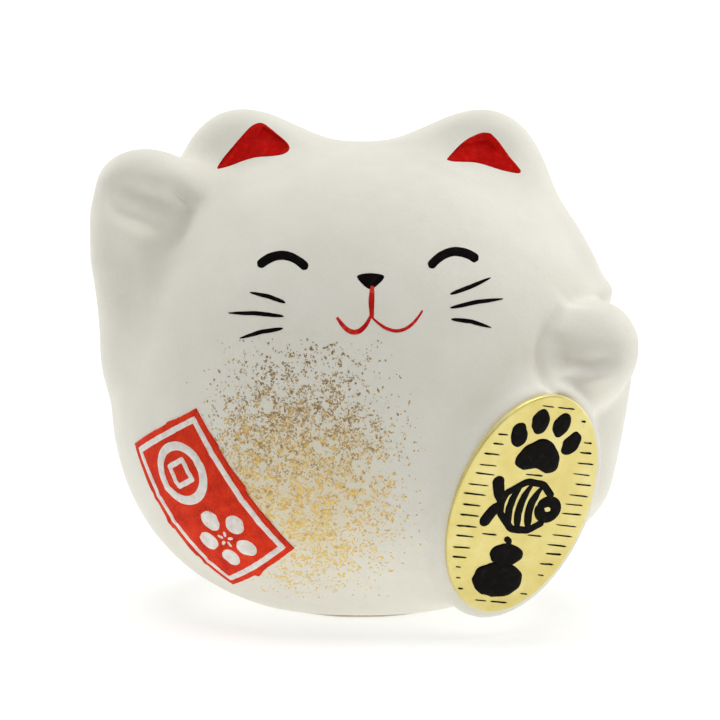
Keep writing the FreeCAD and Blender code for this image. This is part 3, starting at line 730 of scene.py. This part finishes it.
def label_motifs(material):
    """An old coin with a square hole over a plum blossom, in broad white brushwork."""
    rim = [COIN_CENTRE + COIN_RADIUS * towards(turn)
           for turn in np.linspace(0.4, 0.6 + 2 * math.pi, 54)]
    parts = [stroke(rim, 0.72, PRINT, 116, 80, 0.04, np.ones_like)]
    a = COIN_HOLE_HALF
    for i, (start, end) in numbered_edges([(-a, -a), (a, -a), (a, a), (-a, a)]):
        path = on_line(COIN_CENTRE + start, COIN_CENTRE + end, np.linspace(-0.12, 1.12, 6))
        parts.append(stroke(path, 0.42, PRINT, 24, 82 + i, 0.15))
    for i in range(5):
        turn = math.radians(90 + 72 * i)
        petal = oval(FLOWER_CENTRE + PETAL_REACH * towards(turn), PETAL_HALF, 36, turn)
        parts.append(blob(uneven(petal, 0.14, 0.9, 90 + i), PRINT))
        between = towards(turn + 0.63)
        stamen = [FLOWER_CENTRE + between * 0.4, FLOWER_CENTRE + between * 1.25]
        parts.append(stroke(stamen, 0.24, PRINT, 14, 96 + i))
    mesh_piece("label_motif_print", joined(parts), material, ["label_motifs"])


# ---- Gold plate ----
# The plate's edge from below: how far in from its rim, and how high
PLATE_PROFILE = [(0.30, 0.0), (0.08, 0.04), (0.0, 0.16), (0.0, 0.62), (0.05, 0.73), (0.16, 0.79),
                 (0.34, 0.80)]


def gold_plate(material):
    count, rings = 168, 26
    rim = ring(count)
    rows = [rim * [PLATE_HALF[0] - inset, PLATE_HALF[1] - inset, 0] + [0, 0, height]
            for inset, height in PLATE_PROFILE]
    edge = PLATE_PROFILE[-1][0]
    for share in np.linspace(1, 0, rings)[1:-1]:
        flat = rim * [(PLATE_HALF[0] - edge) * share, (PLATE_HALF[1] - edge) * share, 0]
        height = PLATE_THICKNESS + 0.012 * noise(flat, 2.6, 101) + 0.004 * noise(flat, 0.8, 102)
        rows.append(flat + [0, 0, 1] * height[:, None])
    points, faces = closed_rings(rows, [0, 0, 0], [0, 0, PLATE_THICKNESS])
    mesh_piece("koban_gold_plate", (on_plate(*points.T), faces), material, ["koban_plate"])


def brush(path, half_width, seed, count=30, wobble=0.10, taper=None):
    return stroke(path, half_width, LACQUER, count, seed, wobble, taper)


def spot(centre, half, seed, turn=0.0):
    return blob(uneven(oval(centre, half, 44, turn), 0.13, 0.8, seed), LACQUER, 6)


def paw_print(u, v):
    half = [(0.3, 1.4), (-1.2, 2.9), (-3.0, 3.3), (-3.8, 2.0)]
    pad = [(0.8, 0.0), *half, (-3.4, 0.0), *((a, -b) for a, b in half[::-1])]
    outline = uneven(smooth_outline([(u + a, v + b) for a, b in pad]), 0.09, 0.8, 110)
    toes = [(0.8, -4.1, -0.45), (3.0, -1.65, -0.12), (3.0, 1.65, 0.12), (0.8, 4.1, 0.45)]
    return [blob(outline, LACQUER, 6)] + [spot((u + a, v + b), (1.7, 1.25), 112 + i, turn)
                                          for i, (a, b, turn) in enumerate(toes)]


def fish(u, v):
    """A plump sea bream swimming across the plate, with bare gold between its scales."""
    head = [(u + 1.15 * math.sin(k), v - 3.6 + 1.25 * math.cos(k))
            for k in np.linspace(0, 2 * math.pi + 0.5, 34)]
    parts = [brush(head, 0.78, 120, 50, 0.03)]
    scales = [(-1.75, 3.1, 0.6), (-0.2, 3.5, 0.55), (1.3, 3.1, 0.55), (2.7, 2.1, 0.5)]
    for i, (across, reach, half) in enumerate(scales):
        band = [(u + reach * k, v + across + 0.9 * (1 - k * k)) for k in np.linspace(-1, 1, 13)]
        parts.append(brush(band, half, 122 + i, taper=brush_taper))
    for side in (-1, 1):
        side_line = [(1.7, -3.7), (3.3, -1.7), (3.4, 0.9), (1.2, 3.6)]
        tail = [(0.1, 3.3), (1.3, 4.5), (3.5, 5.5)]
        for path, half, seed in ((side_line, 0.5, 130), (tail, 0.85, 136)):
            parts.append(brush([(u + side * a, v + b) for a, b in path], half, seed + side))
    return parts


def gourd(u, v):
    """A bottle gourd of two bulbs, with a short stalk."""
    stalk = [(u + 2.9, v + 0.1), (u + 3.6, v + 0.2), (u + 4.0, v + 1.0)]
    return [spot((u - 1.9, v), (2.5, 3.8), 140), spot((u + 1.7, v), (1.6, 2.5), 141),
            brush(stalk, 0.4, 143)]


def koban_motifs(material):
    motifs = joined(paw_print(8.6, 0.1) + fish(-0.1, -0.3) + gourd(-8.8, 0.0))
    mesh_piece("koban_lacquer_motifs", motifs, material, ["koban_motifs"])


DASH_SLOPE = math.tan(math.radians(-2.5))
DASH_PITCH = 1.46
DASH_LENGTH = (2.2, 3.6)
DASH_HALF_WIDTH = (0.085, 0.135)


def ruled(t):
    """Width of a dash: nearly even, and thinner at its inner end."""
    return np.clip(np.minimum(t, 1 - t) * 7 + 0.25, 0, 1) * (1.1 - 0.35 * t)


def dash(row, span, slope, half_width, seed):
    path = [(row + slope * v, v) for v in np.linspace(*span, 8)]
    return brush(path, half_width, seed, 16, 0.3, ruled)


def koban_dashes(material):
    """Rows of short hand-ruled strokes across the plate, clear of the motifs."""
    draw = np.random.default_rng(5)
    parts = []
    for i in range(-10, 10):
        row = (i + 0.5) * DASH_PITCH
        edge = PLATE_HALF[1] * math.sqrt(1 - (row / PLATE_HALF[0]) ** 2) - 0.7
        spans = []
        if abs(row) > 13.0:
            spans = [(-0.72 * edge, -0.1), (0.5, 0.6 * edge)]
        else:
            clear = 5.7 if abs(row) < 12.0 else 4.2
            for side in (-1, 1):
                outer = edge - draw.uniform(0.0, 0.6)
                inner = max(outer - draw.uniform(*DASH_LENGTH), clear + draw.uniform(-0.2, 0.4))
                if outer - inner > 0.6:
                    spans.append((side * outer, side * inner))
        for span in spans:
            slope = DASH_SLOPE + draw.uniform(-0.02, 0.02)
            parts.append(dash(row, span, slope, draw.uniform(*DASH_HALF_WIDTH), 150 + i))
    for row, span in ((4.3, (-1.4, 1.2)), (-4.5, (2.4, 4.6)), (-4.1, (-4.4, -2.2))):
        parts.append(dash(row, span, DASH_SLOPE, 0.11, 190))
    mesh_piece("koban_lacquer_dashes", joined(parts), material, ["koban_dashes"])


# ---- Gold leaf ----
FLECKS = 9000
FLECK_MIDDLE = (-7.6, 22.8)     # across and up
FLECK_REACH = (13.0, 17.0)
FLECK_RIGHT_END, FLECK_HEIGHTS = 8.5, (4.5, 40.5)
FLECK_CORNERS = 5
LABEL_CLEARANCE = 0.4


def under_label(x, z):
    way = on_front(x, z, 0.0) - RAY_CENTRE
    way = way / (way @ LABEL_OUT)[:, None] * LABEL_REACH
    a, b = np.abs(way @ LABEL_ACROSS), np.abs(way @ LABEL_ALONG)
    return (a < LABEL_SIZE[0] / 2 + LABEL_CLEARANCE) & (b < LABEL_SIZE[1] / 2 + LABEL_CLEARANCE)


def fleck_places(draw):
    """Where the chips lie: closest together at the middle of the belly, and clear of the label."""
    tries = draw.uniform(-1.5, 1.5, (2, FLECKS * 8))
    x = FLECK_MIDDLE[0] + FLECK_REACH[0] * tries[0]
    z = FLECK_MIDDLE[1] + FLECK_REACH[1] * tries[1]
    patchy = 0.35 * flat_noise(x, 0, 2.6, 200, z) + 0.6 * flat_noise(x, 0, 0.8, 201, z)
    density = np.exp(-(tries[0] ** 2 + tries[1] ** 2) ** 1.9 * 1.9) * (0.62 + patchy)
    keep = density > draw.uniform(0, 1, len(x))
    keep &= (x < FLECK_RIGHT_END) & (z > FLECK_HEIGHTS[0]) & (z < FLECK_HEIGHTS[1])
    x, z = x[keep][:FLECKS], z[keep][:FLECKS]
    clear = ~under_label(x, z)
    return x[clear][:, None], z[clear][:, None]


def gold_flecks(material):
    """Torn chips of gold leaf, each a flat solid with five uneven corners."""
    draw = np.random.default_rng(11)
    x, z = fleck_places(draw)
    count, corners = len(x), FLECK_CORNERS
    size = 0.055 + 0.10 * draw.random(count) ** 2.4 + 0.07 * (draw.random(count) > 0.96)
    stretch = 1 + 1.6 * draw.random(count) ** 2
    turn = draw.uniform(0, 2 * np.pi, count)[:, None]
    angle = (np.arange(corners) + draw.uniform(-0.25, 0.25, (count, corners))) / corners * 2 * np.pi
    reach = size[:, None] * draw.uniform(0.55, 1.25, (count, corners))
    rim = turned(reach * np.cos(angle) * stretch[:, None], reach * np.sin(angle), turn)
    rim = x + rim[0], z + rim[1]
    lift = draw.uniform(0.015, 0.04, (count, 1)) + draw.uniform(-0.006, 0.006, (count, corners))
    points = np.concatenate([on_front(*rim, lift), on_front(*rim, -0.04)], 1).reshape(-1, 3)
    faces = []
    for at in range(0, len(points), 2 * corners):
        faces += [list(range(at, at + corners)),
                  list(range(at + 2 * corners - 1, at + corners - 1, -1))]
        faces += ring_quads(2, corners, at)
    mesh_piece("gold_leaf_chips", (points, faces), material, ["gold_leaf_flecks"],
               smooth=False)


# ---- Base ----
def base_disc(material):
    """The card disc under the foot, cut by hand, with softly crushed edges."""
    low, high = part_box("base_paper_disc")
    radius = (high.x - low.x) / 2 / METRES
    thick = (high.z - low.z) / METRES
    rim = ring(120)
    cut = 0.10 * noise(rim * radius, 4.0, 210) - 0.10
    rows = [rim * radius * share for share in (0.2, 0.5, 0.8)]
    for inset, height in [(0.25, 0.0), (0.05, 0.05), (0.0, thick / 2), (0.05, thick - 0.05),
                          (0.25, thick)]:
        rows.append(rim * (radius + cut - inset)[:, None] + [0, 0, height])
    rows += [rim * radius * share + [0, 0, thick] for share in (0.8, 0.5, 0.2)]
    solid = closed_rings(rows, [0, 0, 0], [0, 0, thick])
    mesh_piece("base_card_disc", solid, material, ["base_paper_disc"])


# ---- Ceramic under the paper ----
VENT_RADIUS = 6.0
PASTE = 0.25        # the paste under the paper, which is thickest in the creases
WALL = 3.2
SUNK_DEPTH, SUNK_REACH = 1.4, 2.6       # at the creases


def ceramic_shell(material):
    """The hollow casting. The paw's fold and the creases are moulded in it, under the paper."""
    columns, rows = 180, 130
    vent = math.atan2(VENT_RADIUS, FOOT_HEIGHT - RAY_CENTRE[2])
    polar = (np.linspace(0, 1, rows)[1:] ** 0.9 * vent)[:, None]
    x, y, flat = ring(columns).T
    ways = np.stack([np.sin(polar) * x, np.sin(polar) * y, np.cos(polar) + flat], -1)
    ways = unit(np.concatenate([[[0, 0, 1.0]], ways.reshape(-1, 3)]))
    plain = from_outside(ways)
    sunk = np.zeros(len(plain))
    for crease, lift, _, _, _ in CREASES:
        if lift < 0:
            away, _ = path_distance(plain, crease)
            sunk = np.maximum(sunk, SUNK_DEPTH * np.exp(-(away / SUNK_REACH) ** 2))
    shell = np.concatenate([raised_by(plain, -sunk - PAPER - PASTE),
                            raised_by(plain, -sunk - PAPER - WALL)])
    faces = []
    for start in (0, len(ways)):
        faces += fan(start, start + 1, columns) + ring_quads(rows - 1, columns, start + 1)
    outer = len(ways) - columns + np.arange(columns)
    after = np.roll(outer, -1)
    faces += np.stack([outer, after, len(ways) + after, len(ways) + outer], -1).tolist()
    mesh_piece("ceramic_shell", (shell, faces), material, ["ceramic_body"])


# ---- Materials ----
def colour(red, green, blue):
    """A display colour, 0 to 255 each, as the shader takes it."""
    shown = np.array([red, green, blue]) / 255
    return (*np.where(shown < 0.04, shown / 12.92, ((shown + 0.055) / 1.055) ** 2.4), 1.0)


class Finish:
    """A material, with short ways of adding the textures that drive it. Sizes are in mm."""

    def __init__(self, name, **settings):
        self.material = bpy.data.materials.new(name)
        self.material.use_nodes = True
        self.nodes = self.material.node_tree.nodes
        self.links = self.material.node_tree.links
        self.shader = self.nodes["Principled BSDF"]
        self.place = self.nodes.new("ShaderNodeTexCoord").outputs["Object"]
        self.relief = None
        for socket, value in settings.items():
            self.shader.inputs[socket.replace("_", " ")].default_value = value

    def node(self, kind, inputs, **settings):
        """Adds a node and gives its outputs. An input is a number, a vector or an output."""
        node = self.nodes.new("ShaderNode" + kind)
        for name, value in settings.items():
            setattr(node, name, value)
        for socket, value in inputs.items():
            if isinstance(value, bpy.types.NodeSocket):
                self.links.new(value, node.inputs[socket])
            else:
                node.inputs[socket].default_value = value
        return node.outputs

    def texture(self, size, detail=3.0, roughness=0.55, stretch=None, turn=(0, 0, 0)):
        """Noise of that grain size, drawn out along X by stretch and then turned."""
        place = self.place
        if stretch:
            drawn = {"Vector": place, "Rotation": turn, "Scale": (stretch, 1, 1)}
            place = self.node("Mapping", drawn, vector_type="TEXTURE")["Vector"]
        return self.node("TexNoise", {"Vector": place, "Scale": 1 / (size * METRES),
                                      "Detail": detail, "Roughness": roughness})["Fac"]

    def fibres(self, size=0.16, stretch=14):
        """Thin fibres lying every way."""
        total = None
        for turn in ((0.3, 0.2, 0.1), (1.3, 0.5, 1.1), (0.2, 1.3, 2.2), (2.1, 0.9, 0.4)):
            line = self.remap(self.texture(size, 1.5, 0.4, stretch, turn), 0.52, 0.66, 0, 1)
            total = line if total is None else self.math("MAXIMUM", total, line)
        return total

    def remap(self, value, low, high, out_low, out_high):
        return self.node("MapRange", {"Value": value, "From Min": low, "From Max": high,
                                      "To Min": out_low, "To Max": out_high})["Result"]

    def math(self, operation, first, second):
        return self.node("Math", {0: first, 1: second}, operation=operation)["Value"]

    def ramp(self, value, stops):
        """Display colours at those positions, 0 to 1, with even changes between them."""
        node = self.nodes.new("ShaderNodeValToRGB")
        elements = node.color_ramp.elements
        while len(elements) < len(stops):
            elements.new(0.5)
        for element, (position, shade) in zip(elements, stops):
            element.position = position
            element.color = colour(*shade)
        self.links.new(value, node.inputs["Fac"])
        return node.outputs["Color"]

    def mix(self, share, first, second):
        """first, a colour output, where share is 0, and second, a display colour, where it is 1."""
        inputs = {"Factor": share, "A": first, "B": colour(*second)}
        return self.node("Mix", inputs, data_type="RGBA")["Result"]

    def specks(self, grain, low, high, most, base, shade):
        """base with specks of shade where the grain is over low, most of it over high."""
        return self.mix(self.remap(grain, low, high, 0, most), base, shade)

    def paint(self, shade):
        self.links.new(shade, self.shader.inputs["Base Color"])

    def rough(self, grain, least, most):
        """Roughness that runs from least to most with the grain."""
        self.links.new(self.remap(grain, 0.3, 0.7, least, most), self.shader.inputs["Roughness"])

    def bump(self, height, depth):
        """Adds relief, depth mm from its lowest to its highest."""
        inputs = {"Height": height, "Distance": depth * METRES}
        if self.relief:
            inputs["Normal"] = self.relief
        self.relief = self.node("Bump", inputs)["Normal"]
        self.links.new(self.relief, self.shader.inputs["Normal"])


DUST_MIDDLE = (-8.0, 0.0, 19.5)
DUST_REACH = (13.0, 1000.0, 13.5)


def washi(name="washi", light=(238, 236, 224), dark=(233, 230, 217), dusted=False):
    """Handmade paper: soft fibres every way, a fine crinkle, and slightly uneven colour.

    The dusted kind has gold powder, too fine to see as chips, rubbed in among the leaf.
    """
    sheet = Finish(name, Sheen_Weight=0.08, Sheen_Roughness=0.5, Specular_IOR_Level=0.2)
    fibre = sheet.fibres()
    base = sheet.ramp(sheet.texture(7.0), [(0.35, dark), (0.65, light)])
    base = sheet.specks(fibre, 0, 1, 0.22, base, (246, 245, 236))
    base = sheet.specks(sheet.texture(0.5, 2), 0.64, 0.82, 0.15, base, (216, 210, 192))
    if dusted:
        field = {"Vector": sheet.place, "Location": np.multiply(DUST_MIDDLE, METRES),
                 "Scale": np.multiply(DUST_REACH, METRES)}
        field = sheet.node("Mapping", field, vector_type="TEXTURE")["Vector"]
        away = sheet.node("VectorMath", {0: field}, operation="LENGTH")["Value"]
        dust = sheet.math("MULTIPLY", sheet.remap(away, 0.25, 1.05, 0.55, 0),
                          sheet.remap(sheet.texture(0.7, 4), 0.35, 0.65, 0.35, 1))
        base = sheet.mix(dust, base, (236, 212, 150))
    sheet.paint(base)
    sheet.rough(sheet.texture(1.2), 0.66, 0.84)
    sheet.bump(fibre, 0.010)
    sheet.bump(sheet.texture(1.1, 4), 0.030)
    sheet.bump(sheet.texture(3.2, 2), 0.035)
    return sheet.material


def red_paper():
    paper = Finish("label_red", Specular_IOR_Level=0.05)
    base = paper.ramp(paper.texture(2.4, 4), [(0.30, (198, 30, 10)), (0.52, (226, 46, 20)),
                                              (0.72, (236, 66, 32))])
    fibre = paper.fibres(0.13, 12)
    base = paper.specks(fibre, 0, 1, 0.35, base, (240, 92, 60))
    paper.paint(paper.specks(paper.texture(0.6, 2), 0.60, 0.75, 0.5, base, (176, 24, 10)))
    paper.rough(paper.texture(0.8), 0.55, 0.75)
    paper.bump(fibre, 0.015)
    paper.bump(paper.texture(1.0, 4), 0.06)
    return paper.material


def white_print():
    paint = Finish("label_white", Specular_IOR_Level=0.35)
    base = paint.ramp(paint.texture(1.2, 4), [(0.30, (220, 214, 206)), (0.65, (243, 240, 234))])
    paint.paint(paint.specks(paint.texture(0.35, 3), 0.62, 0.74, 0.75, base, (226, 120, 100)))
    paint.rough(paint.texture(0.7), 0.5, 0.7)
    paint.bump(paint.texture(0.4, 4), 0.03)
    return paint.material


def brushed_paint(name, shades, roughness, coat=0.0):
    """Brush paint on paper: the paper's grain shows in it, and it is thin in places."""
    paint = Finish(name, Coat_Weight=coat, Coat_Roughness=0.25, Specular_IOR_Level=0.03)
    stops = list(zip((0.32, 0.55, 0.74), shades))
    paint.paint(paint.ramp(paint.texture(0.9, 4), stops))
    paint.rough(paint.texture(0.5), roughness - 0.08, roughness + 0.12)
    paint.bump(paint.fibres(0.14, 10), 0.010)
    paint.bump(paint.texture(0.5, 4), 0.03)
    return paint.material


def gold_plating():
    """Thin satin plate, faintly rolled along its length, with a soft mottle."""
    gold = Finish("gold_plate", Metallic=0.55, Specular_IOR_Level=0.6)
    base = gold.ramp(gold.texture(4.0, 4), [(0.30, (232, 214, 128)), (0.55, (240, 225, 145)),
                                            (0.75, (246, 234, 166))])
    gold.paint(gold.specks(gold.texture(0.5, 3), 0.60, 0.76, 0.35, base, (206, 178, 92)))
    gold.rough(gold.texture(0.9, 4), 0.36, 0.52)
    gold.bump(gold.texture(0.12, 2, 0.5, 12, (0.2, 0.4, 1.25)), 0.004)
    gold.bump(gold.texture(1.4, 3), 0.02)
    return gold.material


def gold_leaf():
    """Leaf chips, coloured dark high on the belly and bright yellow lower down: painted shade and
    painted reflection, set by height.
    """
    leaf = Finish("gold_leaf", Metallic=0.20, Specular_IOR_Level=0.3)
    height = leaf.node("SeparateXYZ", {"Vector": leaf.place})["Z"]
    height = leaf.remap(height, 8 * METRES, 38 * METRES, 0, 1)
    # Painted shade and reflection: the chips' colour darkens with height, with some noise from
    # place to place.
    painted_shade_by_height = leaf.math("ADD", height, leaf.remap(leaf.texture(0.6, 2), 0.3, 0.7, -0.40, 0.40))
    leaf.paint(leaf.ramp(painted_shade_by_height, [(0.10, (244, 214, 120)), (0.38, (236, 198, 108)),
                               (0.66, (206, 172, 108)), (1.0, (158, 130, 82))]))
    leaf.rough(leaf.texture(0.5), 0.30, 0.55)
    leaf.bump(leaf.texture(0.18, 3), 0.015)
    return leaf.material


def unglazed_ceramic():
    clay = Finish("ceramic", Specular_IOR_Level=0.3)
    base = clay.ramp(clay.texture(3.0, 4), [(0.35, (206, 192, 170)), (0.65, (224, 213, 194))])
    clay.paint(clay.specks(clay.texture(0.4, 2), 0.66, 0.74, 0.7, base, (120, 96, 70)))
    clay.rough(clay.texture(0.8), 0.70, 0.88)
    clay.bump(clay.texture(0.3, 4), 0.04)
    return clay.material


def backdrop():
    ground = Finish("backdrop", Specular_IOR_Level=0.1, Roughness=0.9,
                    Emission_Color=(1, 1, 1, 1), Emission_Strength=0.62)
    ground.paint(ground.ramp(ground.texture(60.0, 2), [(0.3, (184, 184, 182)),
                                                       (0.7, (190, 190, 188))]))
    return ground.material


# ---- The figurine ----
paper = washi()
ink = brushed_paint("black_ink", [(8, 7, 6), (14, 12, 11), (30, 26, 22)], 0.55)
red = brushed_paint("ear_red", [(172, 8, 4), (190, 12, 6), (204, 26, 14)], 0.6)
lips = brushed_paint("mouth_red", [(178, 26, 22), (204, 38, 32), (226, 84, 70)], 0.6)
lacquer = brushed_paint("black_lacquer", [(8, 7, 6), (15, 13, 11), (32, 28, 22)], 0.38, 0.06)
printed = white_print()

ceramic_shell(unglazed_ceramic())
washi_sheet("washi_front_cover", True, washi("washi_dusted", dusted=True))
washi_sheet("washi_back_cover", False, paper)
base_disc(washi("base_card", (232, 224, 208), (216, 206, 188)))

face_patch("right_ear_paint", RIGHT_EAR, red, "right_ear_red", 60, 12)
face_patch("left_ear_paint", LEFT_EAR, red, "left_ear_red", 60, 12)
face_strokes("right_eye_stroke", eye(-10.2, 49.3, -1.0), ink, "right_eye", 61)
face_strokes("left_eye_stroke", eye(11.8, 49.7, 6.0), ink, "left_eye", 62)
face_patch("nose_paint", NOSE, ink, "nose", 63, 9)
face_strokes("mouth_strokes", smile(), lips, "mouth", 64, 0.08)
for side, hairs, seed in (("right", RIGHT_WHISKERS, 65), ("left", LEFT_WHISKERS, 66)):
    face_strokes(f"{side}_whisker_strokes", whiskers(hairs), ink, f"{side}_whiskers",
                 seed)

label_sheet(red_paper())
label_frame(printed)
label_motifs(printed)
gold_plate(gold_plating())
koban_motifs(lacquer)
koban_dashes(lacquer)
gold_flecks(gold_leaf())


# ---- Floor, light and camera ----
FLOOR_RADIUS = 9000.0
FLOOR_CORNERS = 96
FLOOR_DROP = 0.02
VIEW_TARGET = np.array([0.0, 0.0, 32.0])
VIEW_DISTANCE = 430.0
VIEW_ELEVATION = 8.0
VIEW_SHIFT = (-0.0028, 0.0167)
LENS = 156.2


def floor():
    rim = ring(FLOOR_CORNERS) * FLOOR_RADIUS - [0, 0, FLOOR_DROP]
    mesh = bpy.data.meshes.new("floor")
    mesh.from_pydata((rim * METRES).tolist(), [], [list(range(FLOOR_CORNERS))])
    mesh.materials.append(backdrop())
    ground = placed("floor", mesh)


def sun(name, azimuth, elevation, strength, spread):
    """Soft light from a wide patch of sky. Azimuth 0 is from the front, and 90 from +X."""
    lamp = bpy.data.lights.new(name, "SUN")
    lamp.energy = strength
    lamp.angle = math.radians(spread)
    placed(name, lamp).rotation_euler = (math.radians(90 - elevation), 0, math.radians(azimuth))


floor()
sun("top_light", 30, 88, 2.45, 45)
sun("left_side_light", -127, 16, 1.45, 50)
sun("right_side_light", 113, 16, 1.5, 50)

world = bpy.data.worlds.new("studio")
world.use_nodes = True
background = world.node_tree.nodes["Background"]
background.inputs["Color"].default_value = (1, 1, 1, 1)
background.inputs["Strength"].default_value = 0.04
scene.world = world
scene.view_settings.view_transform = "Standard"

elevation = math.radians(VIEW_ELEVATION)
camera_data = bpy.data.cameras.new("camera")
camera_data.lens = LENS
camera_data.shift_x, camera_data.shift_y = VIEW_SHIFT
camera = placed("camera", camera_data)
towards_camera = np.array([0, -math.cos(elevation), math.sin(elevation)])
camera.location = (VIEW_TARGET + VIEW_DISTANCE * towards_camera) * METRES
camera.rotation_euler = (math.radians(90) - elevation, 0, 0)
bpy.context.scene.camera = camera
